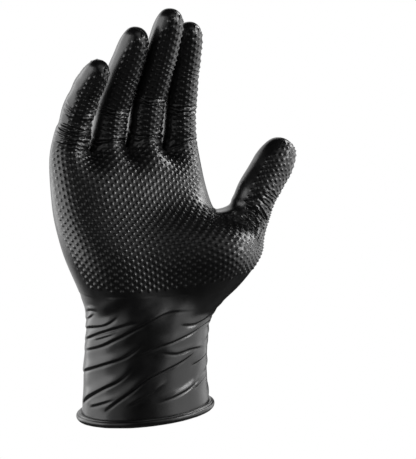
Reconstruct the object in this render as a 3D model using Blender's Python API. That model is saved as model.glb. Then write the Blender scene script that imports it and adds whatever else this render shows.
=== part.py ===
"""Black textured nitrile glove in the shape it takes when worn, palm to the front.

The film is one smooth surface, drawn as a cage of sections and cut into shells where it bends.
Metres, +Z up, palm towards -Y, thumb towards +X, origin in the middle of the cuff opening.
"""
import math
from collections import namedtuple

import bmesh
import bpy
from mathutils import Vector

# Film and rolled edge
FILM = 0.0002
GAP = 0.0003
BEAD_RADIUS = 0.0021
BEAD_STANDOFF = 0.0009
BEAD_POINTS = 48
BEAD_SIDE_COUNT = 8

# Cuff and wrist, full widths and depths
CUFF_WIDTH = 0.0730
CUFF_DEPTH = 0.0570
CUFF_TILT = math.radians(3.0)
WAIST_HEIGHT = 0.0320
WAIST_WIDTH = 0.0705
WAIST_DEPTH = 0.0510
WRIST_HEIGHT = 0.0520
WRIST_WIDTH = 0.0730
WRIST_DEPTH = 0.0520
WRIST_SHIFT = 0.0028
WRIST_BAND = 0.0280
CUFF_ROW_SHARES = (0.35, 0.68, 1.00)

# Palm: setback is towards the back of the glove, the thenar is the mound that carries the thumb
PALM_LENGTH = 0.0920
PALM_SHIFT = -0.0020
PALM_SETBACK = 0.0210
HEEL_FRONT = 0.0240
HEEL_BACK = 0.0220
LITTLE_EDGE = 0.0005
INDEX_EDGE = 0.0015
WEB_DEPTH = 0.0120
WEB_DROP = 0.0030
THENAR_OUT = 0.0207
THENAR_FORWARD = 0.0100

# Sections from the wrist to the knuckles: place along the palm and shares of the sizes above
BAND_TOP = WRIST_BAND / 2 / PALM_LENGTH
PalmRow = namedtuple("PalmRow", "along shift width front back out forward")
PALM_ROWS = (
    PalmRow(BAND_TOP, shift=-1.5, width=0.870, front=1.08, back=1.00, out=0.48, forward=0.48),
    PalmRow(along=0.340, shift=-0.3, width=0.964, front=1.14, back=0.86, out=1.00, forward=1.20),
    PalmRow(along=0.510, shift=0.4, width=1.016, front=1.00, back=0.80, out=0.95, forward=1.20),
    PalmRow(along=0.650, shift=1.15, width=1.015, front=0.86, back=0.76, out=0.04, forward=0.25),
    PalmRow(along=0.850, shift=1.30, width=1.006, front=0.70, back=0.68, out=0.00, forward=0.05),
)
KNUCKLE_ROW = PalmRow(along=1.000, shift=1.0, width=1.000, front=0.54, back=0.56, out=0.00, forward=0.00)
PALM_ROUNDNESS = 2.6
CUFF_ROUNDNESS = 2.0

# Fingers: rise and setback of the base from the palm's own, gap to the next finger, segment lengths,
# widths at the base, the two joints and the tip, then lean towards the thumb and curls in degrees
Finger = namedtuple("Finger", "rise setback gap lengths widths lean curl")
FINGERS = {
    "little": Finger(
        rise=-0.0010, setback=-0.0020, gap=0.0035, lengths=(0.0210, 0.0165, 0.0210),
        widths=(0.0196, 0.0176, 0.0162, 0.0142), lean=6.5, curl=(19, 38, 50)),
    "ring": Finger(
        rise=0.0000, setback=0.0010, gap=0.0023, lengths=(0.0220, 0.0220, 0.0290),
        widths=(0.0198, 0.0190, 0.0180, 0.0156), lean=4.2, curl=(13, 33, 35)),
    "middle": Finger(
        rise=0.0015, setback=0.0015, gap=0.0025, lengths=(0.0275, 0.0240, 0.0310),
        widths=(0.0202, 0.0194, 0.0182, 0.0158), lean=0.0, curl=(17, 35, 33)),
    "index": Finger(
        rise=-0.0005, setback=0.0010, gap=0.0, lengths=(0.0230, 0.0220, 0.0280),
        widths=(0.0194, 0.0186, 0.0174, 0.0152), lean=-3.5, curl=(10, 21, 26)),
}
KNUCKLE_WIDTH = LITTLE_EDGE + sum(one.widths[0] + one.gap for one in FINGERS.values()) + INDEX_EDGE
FINGER_DEPTH_SHARE = 0.96
BASE_BAND = 0.0086
MIDDLE_BAND = 0.0124
TIP_BAND = 0.0072
DOME_SHARE = 0.62
DOME_RING_SHARE = 0.68
HINGE_SHARE = 0.38

# Thumb: its root from the fullest point of the thenar, lengths, widths, lean and curl in degrees, and how
# far the web beside it sags
THUMB_INSET = Vector((-0.0054, 0.0058, -0.0021))
THUMB_LENGTHS = (0.0228, 0.0352)
THUMB_WIDTHS = (0.0245, 0.0232, 0.0224)
THUMB_LEAN = (22.5, 34.0)
THUMB_CURL = (5.0, 0.0)
THUMB_WEB_DROP = 0.0030
THUMB_BASE_BAND = 0.0105
THUMB_TIP_BAND = 0.0110

# Places round a palm section that the thenar carries outwards, then forwards, and by what share
THENAR_SPREAD = {4: 0.14, 5: 0.45, 6: 0.82, 7: 0.97, 8: 1.00, 9: 0.80, 10: 0.38, 11: 0.08}
THENAR_MOUND = {3: 0.05, 4: 0.30, 5: 0.85, 6: 1.30, 7: 1.14, 8: 1.00, 9: 0.80, 10: 0.38, 11: 0.08}
EDGE_SHARE = 0.94
CAGE_ROUNDS = 6

# Finishes
FILM_BLACK = (0.018, 0.018, 0.020, 1.0)
FILM_ROUGHNESS = 0.42
BEAD_BLACK = (0.014, 0.014, 0.015, 1.0)
BEAD_ROUGHNESS = 0.35
HINGE_MARK = 0.01

Section = namedtuple("Section", "height shift setback half_width front back roundness out forward")


def section_columns():
    """Columns of a section as shares of its half width: an edge, then each finger and the web after it."""
    place = LITTLE_EDGE - KNUCKLE_WIDTH / 2
    columns = [-EDGE_SHARE]
    for finger in FINGERS.values():
        columns.append(2 * (place + finger.widths[0] / 2) / KNUCKLE_WIDTH)
        place += finger.widths[0] + finger.gap
        columns.append(2 * (place - finger.gap / 2) / KNUCKLE_WIDTH)
    columns[-1] = EDGE_SHARE
    return columns


COLUMNS = section_columns()
SIDE = len(COLUMNS)
WEB_COLUMNS = range(2, SIDE - 1, 2)


def cuff_section(height):
    """A round section of the cuff, which narrows from its rim to its waist and widens to the wrist."""
    if height < WAIST_HEIGHT:
        share = 1 - height / WAIST_HEIGHT
        end_width, end_depth, shift = CUFF_WIDTH, CUFF_DEPTH, 0.0
    else:
        share = (height - WAIST_HEIGHT) / (WRIST_HEIGHT - WAIST_HEIGHT)
        end_width, end_depth, shift = WRIST_WIDTH, WRIST_DEPTH, WRIST_SHIFT
    half_width = (WAIST_WIDTH + (end_width - WAIST_WIDTH) * share ** 2) / 2
    half_depth = (WAIST_DEPTH + (end_depth - WAIST_DEPTH) * share ** 2) / 2
    return Section(height, shift * share, 0.0, half_width, half_depth, half_depth, CUFF_ROUNDNESS, 0.0, 0.0)


def palm_section(row):
    """A flattened section of the palm, leaning back from the wrist to the knuckles."""
    height = WRIST_HEIGHT + row.along * PALM_LENGTH
    shift = row.shift * PALM_SHIFT
    setback = row.along * PALM_SETBACK
    half_width = row.width * KNUCKLE_WIDTH / 2
    front = row.front * HEEL_FRONT
    back = row.back * HEEL_BACK
    out = row.out * THENAR_OUT
    forward = row.forward * THENAR_FORWARD
    return Section(height, shift, setback, half_width, front, back, PALM_ROUNDNESS, out, forward)


def outline(section):
    """Points round a section: palm side, thumb edge, back, then the little finger's edge."""
    depth = [(1 - abs(u) ** section.roundness) ** (1 / section.roundness) for u in COLUMNS]
    palm_side = [(u * section.half_width, -section.front * d) for u, d in zip(COLUMNS, depth)]
    back_side = [(u * section.half_width, section.back * d) for u, d in zip(COLUMNS, depth)]
    flat = palm_side + [(section.half_width, 0.0)] + back_side[::-1] + [(-section.half_width, 0.0)]
    points = []
    for index, (x, y) in enumerate(flat):
        x += section.shift + THENAR_SPREAD.get(index, 0.0) * section.out
        y += section.setback - THENAR_MOUND.get(index, 0.0) * section.forward
        points.append(Vector((x, y, section.height)))
    return points


def direction(lean, curl):
    """Unit vector of a finger segment: lean is towards the thumb, curl towards the palm side."""
    lean, curl = math.radians(lean), math.radians(curl)
    return Vector((math.cos(curl) * math.sin(lean), -math.sin(curl), math.cos(curl) * math.cos(lean)))


def sideways(lean):
    """Unit vector across a finger, towards the thumb side."""
    return Vector((math.cos(math.radians(lean)), 0.0, -math.sin(math.radians(lean))))


def finger_ring(centre, across, along, width):
    """Eight points round a finger: three on the palm side, one edge, three on the back, the other edge."""
    towards_palm = across.cross(along).normalized()
    points = []
    for turn in (135, 90, 45, 0, -45, -90, -135, 180):
        angle = math.radians(turn)
        side = across * (math.cos(angle) * width / 2)
        depth = towards_palm * (math.sin(angle) * width * FINGER_DEPTH_SHARE / 2)
        points.append(centre + side + depth)
    return points


def dome_width(width):
    """Width of the rounded fingertip at its upper ring."""
    return width * math.sqrt(1 - DOME_RING_SHARE ** 2)


def grow(cage, loop, points, number):
    """Carry a loop of the cage on to new points and mark the band of film that this makes."""
    upper = [cage.verts.new(point) for point in points]
    for corner in range(len(loop)):
        face = cage.faces.new((loop[corner - 1], loop[corner], upper[corner], upper[corner - 1]))
        face.material_index = number
    return upper


def close_tip(cage, loop, point, number):
    """Close the end of a finger with four faces round one point."""
    top = cage.verts.new(point)
    for corner in range(0, len(loop), 2):
        face = cage.faces.new((loop[corner - 1], loop[corner], loop[(corner + 1) % len(loop)], top))
        face.material_index = number


def limit_point(vert):
    """Where the smooth surface passes for one point of the cage."""
    rim = [edge.other_vert(vert).co for edge in vert.link_edges if edge.is_boundary]
    if rim:
        return (4 * vert.co + rim[0] + rim[1]) / 6
    count = len(vert.link_edges)
    near = sum((edge.other_vert(vert).co for edge in vert.link_edges), Vector())
    far = Vector()
    for loop in vert.link_loops:
        far += loop.link_loop_next.link_loop_next.vert.co
    return (count * count * vert.co + 4 * near + far) / (count * (count + 5))


def fit_cage(cage):
    """Move the cage outwards until its smooth surface passes through the points it was drawn with."""
    wanted = {vert: vert.co.copy() for vert in cage.verts}
    for _ in range(CAGE_ROUNDS):
        step = {vert: wanted[vert] - limit_point(vert) for vert in cage.verts}
        for vert, move in step.items():
            vert.co += move


REGIONS = []


def region(name):
    """Number of a named region of the film."""
    REGIONS.append(name)
    return len(REGIONS) - 1


Joint = namedtuple("Joint", "name parent place")
JOINTS = {}
BODY_OF = {"cuff_film": None, "wrist_band": None}


def add_joint(name, parent, place):
    """Note a hinge: its name, the hinge that carries it and a point on its axis."""
    JOINTS[name] = Joint(name, parent, place)


def draw_palm(cage):
    """Cuff, wrist and palm, from the rim up to the row of knuckles."""
    rim_height = math.sqrt(BEAD_RADIUS ** 2 - BEAD_STANDOFF ** 2) + GAP
    band_low = WRIST_HEIGHT - WRIST_BAND / 2
    loop = bmesh.ops.create_circle(cage, segments=2 * SIDE + 2)["verts"]
    for vert, point in zip(loop, outline(cuff_section(rim_height))):
        vert.co = point + Vector((0, 0, point.x * math.tan(CUFF_TILT)))
    film = region("cuff_film")
    for share in CUFF_ROW_SHARES:
        loop = grow(cage, loop, outline(cuff_section(band_low * share)), film)
    band = region("wrist_band")
    loop = grow(cage, loop, outline(cuff_section(WRIST_HEIGHT)), band)
    palm = region("palm_film")
    loops = []
    for row in PALM_ROWS:
        loop = grow(cage, loop, outline(palm_section(row)), band if row is PALM_ROWS[0] else palm)
        loops.append(loop)
    add_joint("wrist_bend", None, Vector((0, 0, WRIST_HEIGHT)))
    BODY_OF["palm_film"] = "wrist_bend"
    loops.append(grow(cage, loop, knuckle_points(), palm))
    return loops


def knuckle_points():
    """The uppermost palm section: full at each finger, drawn in at the webs between them."""
    points = outline(palm_section(KNUCKLE_ROW))
    fingers = list(FINGERS.values())
    for index, point in enumerate(points):
        column = index if index < SIDE else 2 * SIDE - index
        if column in WEB_COLUMNS:
            left, right = fingers[column // 2 - 1], fingers[column // 2]
            point.y = PALM_SETBACK + (left.setback + right.setback) / 2
            point.y += math.copysign(WEB_DEPTH / 2, index - SIDE)
            point.z += min(left.rise, right.rise) - WEB_DROP
        else:
            finger = fingers[min(max(column - 1, 0) // 2, len(fingers) - 1)]
            point.y += finger.setback
            point.z += finger.rise
    return points


def draw_webs(cage, knuckles):
    """The ridge of film between neighbouring fingers, from the palm side to the back."""
    ridges = []
    for column in WEB_COLUMNS:
        front, back = knuckles[column], knuckles[2 * SIDE - column]
        middle = cage.verts.new((front.co + back.co) / 2 + Vector((0, 0, WEB_DROP)))
        ridges.append(middle)
    return ridges


def draw_finger(cage, name, loop):
    """One finger: a base crease, then three segments with a crease at each joint."""
    finger = FINGERS[name]
    across = sideways(finger.lean)
    column = 1 + 2 * list(FINGERS).index(name)
    knuckle = palm_section(KNUCKLE_ROW)
    base_x = knuckle.shift + COLUMNS[column] * knuckle.half_width
    base = Vector((base_x, knuckle.setback + finger.setback, knuckle.height + finger.rise))
    ways = [direction(finger.lean, curl) for curl in finger.curl]
    joints = [base]
    for length, way in zip(finger.lengths, ways):
        joints.append(joints[-1] + length * way)
    wide = finger.widths

    def ring(segment, distance, width):
        way = ways[segment]
        return finger_ring(joints[segment] + distance * way, across, way, width)

    def bend_ring(joint, width):
        return finger_ring(joints[joint], across, ways[joint - 1] + ways[joint], width)

    lower, middle, tip = finger.lengths
    dome = DOME_SHARE * wide[3]
    steps = (
        ("base_crease", ring(0, BASE_BAND, wide[0])),
        ("lower", ring(0, lower - MIDDLE_BAND / 2, wide[1])),
        ("middle_crease", bend_ring(1, wide[1])),
        ("middle_crease", ring(1, MIDDLE_BAND / 2, wide[1])),
        ("middle", ring(1, middle - TIP_BAND / 2, wide[2])),
        ("tip_crease", bend_ring(2, wide[2])),
        ("tip_crease", ring(2, TIP_BAND / 2, wide[2])),
        ("tip", ring(2, tip - dome, wide[3])),
        ("tip", ring(2, tip - dome * (1 - DOME_RING_SHARE), dome_width(wide[3]))),
    )
    numbers = {}
    for part, points in steps:
        if part not in numbers:
            numbers[part] = region(f"{name}_{part}")
        loop = grow(cage, loop, points, numbers[part])
    close_tip(cage, loop, joints[3], numbers["tip"])

    parent = "wrist_bend"
    BODY_OF[f"{name}_base_crease"] = parent
    for joint, (label, part) in enumerate((("base", "lower"), ("middle", "middle"), ("tip", "tip"))):
        way = ways[joint] if joint == 0 else (ways[joint - 1] + ways[joint]).normalized()
        depth = wide[joint] * FINGER_DEPTH_SHARE
        place = joints[joint] + across.cross(way) * depth * (0.5 - HINGE_SHARE)
        add_joint(f"{name}_{label}_bend", parent, place)
        parent = f"{name}_{label}_bend"
        BODY_OF[f"{name}_{part}"] = parent
    BODY_OF[f"{name}_middle_crease"] = f"{name}_base_bend"
    BODY_OF[f"{name}_tip_crease"] = f"{name}_middle_bend"


def draw_thumb(cage, loops):
    """The thumb, out of a square of film cut from the thumb edge of the palm."""
    low, mid, high = loops[1:4]
    column = SIDE - 2
    root = mid[column + 1].co + THUMB_INSET
    hole = {low[column], low[column + 1], low[column + 2], mid[column], mid[column + 1], mid[column + 2],
            high[column], high[column + 1], high[column + 2]}
    patch = [face for face in cage.faces if all(vert in hole for vert in face.verts)]
    bmesh.ops.delete(cage, geom=patch, context="FACES")
    loop = [high[column], mid[column], low[column], low[column + 1], low[column + 2],
            mid[column + 2], high[column + 2], high[column + 1]]
    ways = [direction(lean, curl) for lean, curl in zip(THUMB_LEAN, THUMB_CURL)]
    joint = root + THUMB_LENGTHS[0] * ways[0]
    end = joint + THUMB_LENGTHS[1] * ways[1]
    across = [sideways(lean) for lean in THUMB_LEAN]
    wide = THUMB_WIDTHS
    dome = DOME_SHARE * wide[2]
    dome_place = end - dome * (1 - DOME_RING_SHARE) * ways[1]
    bend = ways[0] + ways[1]
    band = THUMB_TIP_BAND / 2
    first_ring = finger_ring(root + THUMB_BASE_BAND * ways[0], across[0], ways[0], wide[0])
    halfway = [(vert.co + point) / 2 for vert, point in zip(loop, first_ring)]
    web_side = (-2, -1, 0)
    for corner in web_side:
        halfway[corner].z -= THUMB_WEB_DROP
    steps = (
        ("base_crease", halfway),
        ("base_crease", first_ring),
        ("lower", finger_ring(joint - band * ways[0], across[0], ways[0], wide[1])),
        ("tip_crease", finger_ring(joint, across[0], bend, wide[1])),
        ("tip_crease", finger_ring(joint + band * ways[1], across[1], ways[1], wide[1])),
        ("tip", finger_ring(end - dome * ways[1], across[1], ways[1], wide[2])),
        ("tip", finger_ring(dome_place, across[1], ways[1], dome_width(wide[2]))),
    )
    numbers = {}
    for part, points in steps:
        if part not in numbers:
            numbers[part] = region(f"thumb_{part}")
        loop = grow(cage, loop, points, numbers[part])
    close_tip(cage, loop, end, numbers["tip"])
    add_joint("thumb_base_bend", "wrist_bend", root)
    add_joint("thumb_tip_bend", "thumb_base_bend", joint)
    BODY_OF["thumb_base_crease"] = "wrist_bend"
    BODY_OF["thumb_lower"] = "thumb_base_bend"
    BODY_OF["thumb_tip_crease"] = "thumb_base_bend"
    BODY_OF["thumb_tip"] = "thumb_tip_bend"


def black(name, colour, roughness):
    """A plain black finish."""
    material = bpy.data.materials.new(name)
    material.use_nodes = True
    shader = material.node_tree.nodes["Principled BSDF"]
    shader.inputs["Base Color"].default_value = colour
    shader.inputs["Roughness"].default_value = roughness
    return material


def smooth_film(cage):
    """The smooth film surface of the whole cage, as a mesh whose faces keep their region numbers."""
    draft = bpy.data.meshes.new("film_cage")
    cage.to_mesh(draft)
    for name in REGIONS:
        draft.materials.append(black(name, FILM_BLACK, FILM_ROUGHNESS))
    guide = bpy.data.objects.new("film_cage", draft)
    bpy.context.collection.objects.link(guide)
    rounding = guide.modifiers.new("rounding", "SUBSURF")
    rounding.levels = 1
    rounding.render_levels = 1
    depsgraph = bpy.context.evaluated_depsgraph_get()
    film = bpy.data.meshes.new_from_object(guide.evaluated_get(depsgraph))
    bpy.data.objects.remove(guide)
    return film


def draw_back_rims(shell):
    """Shorten a shell at its rims, so that half the gap is left to its neighbour."""
    moves = {}
    for vert in shell.verts:
        if vert.is_boundary:
            inner = [e.other_vert(vert).co for e in vert.link_edges if not e.is_boundary]
            way = sum((point - vert.co for point in inner), Vector())
            moves[vert] = way.normalized() * (GAP / 2)
    for vert, move in moves.items():
        vert.co += move


def place_node(name, data, hinges):
    """Put a node in the scene with its origin on the hinge that carries it."""
    node = bpy.data.objects.new(name, data)
    bpy.context.collection.objects.link(node)
    carrier = BODY_OF[name]
    if carrier:
        node.parent = hinges[carrier]
    return node


def make_shell(film, number, hinges):
    """One region of the film as a thin shell."""
    name = REGIONS[number]
    shell = bmesh.new()
    shell.from_mesh(film)
    others = [face for face in shell.faces if face.material_index != number]
    bmesh.ops.delete(shell, geom=others, context="FACES")
    draw_back_rims(shell)
    for face in shell.faces:
        face.material_index = 0
        face.smooth = True
    carrier = BODY_OF[name]
    if carrier:
        bmesh.ops.translate(shell, vec=-JOINTS[carrier].place, verts=shell.verts)
    data = bpy.data.meshes.new(name)
    shell.to_mesh(data)
    shell.free()
    data.materials.append(film.materials[number])
    node = place_node(name, data, hinges)
    wall = node.modifiers.new("wall", "SOLIDIFY")
    wall.thickness = FILM
    wall.offset = -1.0


def make_bead():
    """The rolled edge of the cuff: a closed round roll just below the rim."""
    rim = cuff_section(0.0)
    curve = bpy.data.curves.new("cuff_bead", "CURVE")
    curve.dimensions = "3D"
    curve.bevel_depth = BEAD_RADIUS
    curve.bevel_resolution = BEAD_SIDE_COUNT // 2 - 2
    roll = curve.splines.new("POLY")
    roll.points.add(BEAD_POINTS - 1)
    roll.use_cyclic_u = True
    for index, point in enumerate(roll.points):
        turn = math.tau * index / BEAD_POINTS
        x = (rim.half_width + BEAD_STANDOFF) * math.cos(turn)
        y = (rim.front + BEAD_STANDOFF) * math.sin(turn)
        point.co = (x, y, x * math.tan(CUFF_TILT), 1.0)
    curve.materials.append(black("cuff_bead", BEAD_BLACK, BEAD_ROUGHNESS))
    place_node("cuff_bead", curve, {})


def make_hinges():
    """An empty on each hinge, carried by the hinge before it."""
    hinges = {}
    for joint in JOINTS.values():
        empty = bpy.data.objects.new(joint.name, None)
        empty.empty_display_size = HINGE_MARK
        bpy.context.collection.objects.link(empty)
        empty.location = joint.place
        if joint.parent:
            empty.parent = hinges[joint.parent]
            empty.location = joint.place - JOINTS[joint.parent].place
        hinges[joint.name] = empty
    return hinges


for old in list(bpy.data.objects):
    bpy.data.objects.remove(old)

glove = bmesh.new()
palm_loops = draw_palm(glove)
knuckle_loop = palm_loops[-1]
webs = draw_webs(glove, knuckle_loop)
edges_between = [knuckle_loop[2 * SIDE + 1]] + webs + [knuckle_loop[SIDE]]
for number, finger_name in enumerate(FINGERS):
    first = 2 * number
    palm_side = knuckle_loop[first:first + 3]
    back_side = [knuckle_loop[2 * SIDE - column] for column in (first + 2, first + 1, first)]
    base_loop = palm_side + [edges_between[number + 1]] + back_side + [edges_between[number]]
    draw_finger(glove, finger_name, base_loop)
draw_thumb(glove, palm_loops)
bmesh.ops.recalc_face_normals(glove, faces=glove.faces)
fit_cage(glove)
film_surface = smooth_film(glove)
glove.free()

BODY_OF["cuff_bead"] = None
hinge_empties = make_hinges()
for region_number in range(len(REGIONS)):
    make_shell(film_surface, region_number, hinge_empties)
make_bead()
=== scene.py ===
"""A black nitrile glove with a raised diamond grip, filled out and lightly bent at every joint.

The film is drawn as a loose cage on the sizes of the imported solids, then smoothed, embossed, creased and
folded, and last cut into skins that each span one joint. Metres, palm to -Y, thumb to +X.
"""
import math
from collections import namedtuple

import bmesh
import bpy
import numpy as np
from mathutils import Matrix, Vector, noise


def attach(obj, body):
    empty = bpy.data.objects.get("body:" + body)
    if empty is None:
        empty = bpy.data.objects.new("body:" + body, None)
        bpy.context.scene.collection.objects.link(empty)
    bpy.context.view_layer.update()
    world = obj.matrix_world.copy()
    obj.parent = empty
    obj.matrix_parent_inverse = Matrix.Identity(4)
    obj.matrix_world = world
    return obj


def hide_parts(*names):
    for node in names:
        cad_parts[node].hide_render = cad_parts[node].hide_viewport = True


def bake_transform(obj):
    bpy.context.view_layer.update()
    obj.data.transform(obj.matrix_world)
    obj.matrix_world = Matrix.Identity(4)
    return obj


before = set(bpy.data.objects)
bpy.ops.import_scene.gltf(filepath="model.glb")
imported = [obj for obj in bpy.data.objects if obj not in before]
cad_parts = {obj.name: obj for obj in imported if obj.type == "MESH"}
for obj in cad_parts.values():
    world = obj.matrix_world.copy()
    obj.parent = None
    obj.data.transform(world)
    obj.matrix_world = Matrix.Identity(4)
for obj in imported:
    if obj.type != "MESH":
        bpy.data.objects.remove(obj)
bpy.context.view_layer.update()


# Cuff and wrist
# The open end of the glove: a round sleeve of the dipped film that narrows to a waist and widens again to
# the palm. It is drawn first, as rings of points from the rolled edge upwards.
CUFF_WIDTH, CUFF_DEPTH = 0.0730, 0.0570
WAIST_WIDTH, WAIST_DEPTH, WAIST_HEIGHT = 0.0705, 0.0510, 0.0320
WRIST_WIDTH, WRIST_DEPTH, WRIST_HEIGHT = 0.0730, 0.0520, 0.0520
WRIST_SHIFT = 0.0028
WRIST_BAND = 0.0280
CUFF_TILT = math.radians(3.0)
CUFF_ROUNDNESS = 2.0
CUFF_ROWS = (0.35, 0.68, 1.00)

# Columns across each side of a ring, as shares of its half width: edges, fingers and the webs between them
COLUMNS = (-0.94, -0.769, -0.511, -0.250, -0.002, 0.250, 0.504, 0.749, 0.94)
SIDE = len(COLUMNS)
# Every point of the cage also has a place on the flat grip pattern and a strength of grip, PLAIN for none
PLAIN = -1.0
UP = Vector((0, 0, 1))
Ring = namedtuple("Ring", "height shift setback half_width front back roundness out forward",
                  defaults=(0.0, 0.0))

cage = bmesh.new()
flat_layer = cage.verts.layers.float_vector.new("flat")
skin_names = []


def ring_points(ring, out_shares, forward_shares):
    """Points round a ring: palm side, thumb edge, back, then the little finger's edge."""
    depth = [(1 - abs(u) ** ring.roundness) ** (1 / ring.roundness) for u in COLUMNS]
    palm_side = [(u * ring.half_width, -ring.front * d) for u, d in zip(COLUMNS, depth)]
    back_side = [(u * ring.half_width, ring.back * d) for u, d in zip(COLUMNS, depth)]
    around = palm_side + [(ring.half_width, 0.0)] + back_side[::-1] + [(-ring.half_width, 0.0)]
    points = []
    for index, (x, y) in enumerate(around):
        out = out_shares.get(index, 0.0) * ring.out
        forward = forward_shares.get(index, 0.0) * ring.forward
        points.append(Vector((x + ring.shift + out, y + ring.setback - forward, ring.height)))
    return points


def cuff_ring(height):
    """A round ring of the sleeve."""
    if height < WAIST_HEIGHT:
        share = 1 - height / WAIST_HEIGHT
        width, depth, shift = CUFF_WIDTH, CUFF_DEPTH, 0.0
    else:
        share = (height - WAIST_HEIGHT) / (WRIST_HEIGHT - WAIST_HEIGHT)
        width, depth, shift = WRIST_WIDTH, WRIST_DEPTH, WRIST_SHIFT
    half_width = (WAIST_WIDTH + (width - WAIST_WIDTH) * share ** 2) / 2
    half_depth = (WAIST_DEPTH + (depth - WAIST_DEPTH) * share ** 2) / 2
    return Ring(height, shift * share, 0.0, half_width, half_depth, half_depth, CUFF_ROUNDNESS)


def mark(face, name):
    """Say which skin a face of the cage belongs to."""
    if name not in skin_names:
        skin_names.append(name)
    face.material_index = skin_names.index(name)


def grow(loop, points, flats, names):
    """Add a ring of points beyond a loop of the cage, in order; flats are their places on the pattern."""
    upper = []
    for point, flat in zip(points, flats):
        above = cage.verts.new(point)
        above[flat_layer] = flat
        upper.append(above)
    for corner, name in enumerate(names):
        mark(cage.faces.new((loop[corner - 1], loop[corner], upper[corner], upper[corner - 1])), name)
    return upper


def plain_flats(points):
    """Places on the flat pattern for a ring with no grip on it."""
    return [Vector((point.x, point.z, PLAIN)) for point in points]


def halves(part):
    """Skin names round a ring of the cuff, wrist or palm: the palm side, then the back."""
    return [f"{part}_front_skin"] * (SIDE + 1) + [f"{part}_back_skin"] * (SIDE + 1)


band_low = WRIST_HEIGHT - WRIST_BAND / 2
rim_points = [point + point.x * math.tan(CUFF_TILT) * UP for point in ring_points(cuff_ring(0.0), {}, {})]
loop = bmesh.ops.create_circle(cage, segments=len(rim_points))["verts"]
for vert, point, flat in zip(loop, rim_points, plain_flats(rim_points)):
    vert.co = point
    vert[flat_layer] = flat
for share in CUFF_ROWS:
    points = ring_points(cuff_ring(band_low * share), {}, {})
    loop = grow(loop, points, plain_flats(points), halves("cuff"))
points = ring_points(cuff_ring(WRIST_HEIGHT), {}, {})
loop = grow(loop, points, plain_flats(points), halves("wrist"))


# Palm and back
# The flat of the film, from the wrist to the knuckles, with the mound that carries the thumb. Both sides
# carry the grip; it stops short of the wrist, of the outer edge and of the web beside the thumb.
PALM_LENGTH = 0.0920
PALM_SHIFT, PALM_SETBACK = -0.0020, 0.0210
KNUCKLE_WIDTH = 0.0893
HEEL_FRONT, HEEL_BACK = 0.0240, 0.0220
PALM_ROUNDNESS = 2.6
WEB_DEPTH, WEB_DROP = 0.0120, 0.0030
# The mound's size, and the shares of it that the points of a ring take, by their number round the ring
MOUND_OUT, MOUND_FORWARD, MOUND_RISE = 0.0207, 0.0100, 0.0060
OUT_SHARES = {4: 0.14, 5: 0.45, 6: 0.82, 7: 0.97, 8: 1.00, 9: 0.80, 10: 0.38, 11: 0.08}
FORWARD_SHARES = {3: 0.05, 4: 0.30, 5: 0.85, 6: 1.30, 7: 1.14, 8: 1.00, 9: 0.80, 10: 0.38, 11: 0.08}

# Rows from the wrist to the knuckles: place along the palm, shares of the sizes above, then how strongly
# the grip shows at the outer edge, beside it, in the middle, beside the thumb edge and on the thumb edge
PalmRow = namedtuple("PalmRow", "along shift width front back out forward grip")
PALM_ROWS = (
    PalmRow(WRIST_BAND / 2 / PALM_LENGTH, -1.5, 0.870, 1.08, 1.00, 0.48, 0.48, (-0.6, 0.5, 1.0, 0.8, 0.2)),
    PalmRow(0.340, -0.3, 0.964, 1.14, 0.86, 1.00, 1.20, (-0.4, 0.7, 1.0, 1.0, 0.9)),
    PalmRow(0.510, 0.4, 1.016, 1.00, 0.80, 0.95, 1.20, (-0.3, 0.8, 1.0, 1.0, 0.9)),
    PalmRow(0.650, 1.15, 1.015, 0.86, 0.76, 0.04, 0.25, (-0.2, 0.9, 1.0, 0.0, PLAIN)),
    PalmRow(0.850, 1.30, 1.006, 0.70, 0.68, 0.00, 0.05, (-0.1, 0.9, 1.0, 0.25, PLAIN)),
    PalmRow(1.000, 1.0, 1.000, 0.54, 0.56, 0.00, 0.00, (-0.2, 0.8, 1.0, 0.4, PLAIN)),
)
PALM_PARTS = ("wrist", "heel", "heel", "palm", "palm", "palm")

# The fingers' roots shape the top row; lean is towards the thumb and curl towards the palm side, in degrees
Finger = namedtuple("Finger", "name rise setback lengths widths lean curl")
FINGERS = (
    Finger("little", rise=-0.0010, setback=-0.0020, lengths=(0.0210, 0.0165, 0.0210),
           widths=(0.0196, 0.0176, 0.0162, 0.0142), lean=6.5, curl=(19, 38, 50)),
    Finger("ring", rise=0.0000, setback=0.0010, lengths=(0.0220, 0.0220, 0.0290),
           widths=(0.0198, 0.0190, 0.0180, 0.0156), lean=4.2, curl=(13, 33, 35)),
    Finger("middle", rise=0.0015, setback=0.0015, lengths=(0.0275, 0.0240, 0.0310),
           widths=(0.0202, 0.0194, 0.0182, 0.0158), lean=0.0, curl=(17, 35, 33)),
    Finger("index", rise=-0.0005, setback=0.0010, lengths=(0.0230, 0.0220, 0.0280),
           widths=(0.0194, 0.0186, 0.0174, 0.0152), lean=-3.5, curl=(10, 21, 26)),
)


def palm_ring(row):
    """A flattened ring of the palm, leaning back from the wrist to the knuckles."""
    height = WRIST_HEIGHT + row.along * PALM_LENGTH
    half_width = row.width * KNUCKLE_WIDTH / 2
    return Ring(height, row.shift * PALM_SHIFT, row.along * PALM_SETBACK, half_width, row.front * HEEL_FRONT,
                row.back * HEEL_BACK, PALM_ROUNDNESS, row.out * MOUND_OUT, row.forward * MOUND_FORWARD)


def column_of(index):
    """Column of a point of a ring: -1 on the little finger's edge and SIDE on the thumb edge."""
    return index if index < SIDE else 2 * SIDE - index


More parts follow.
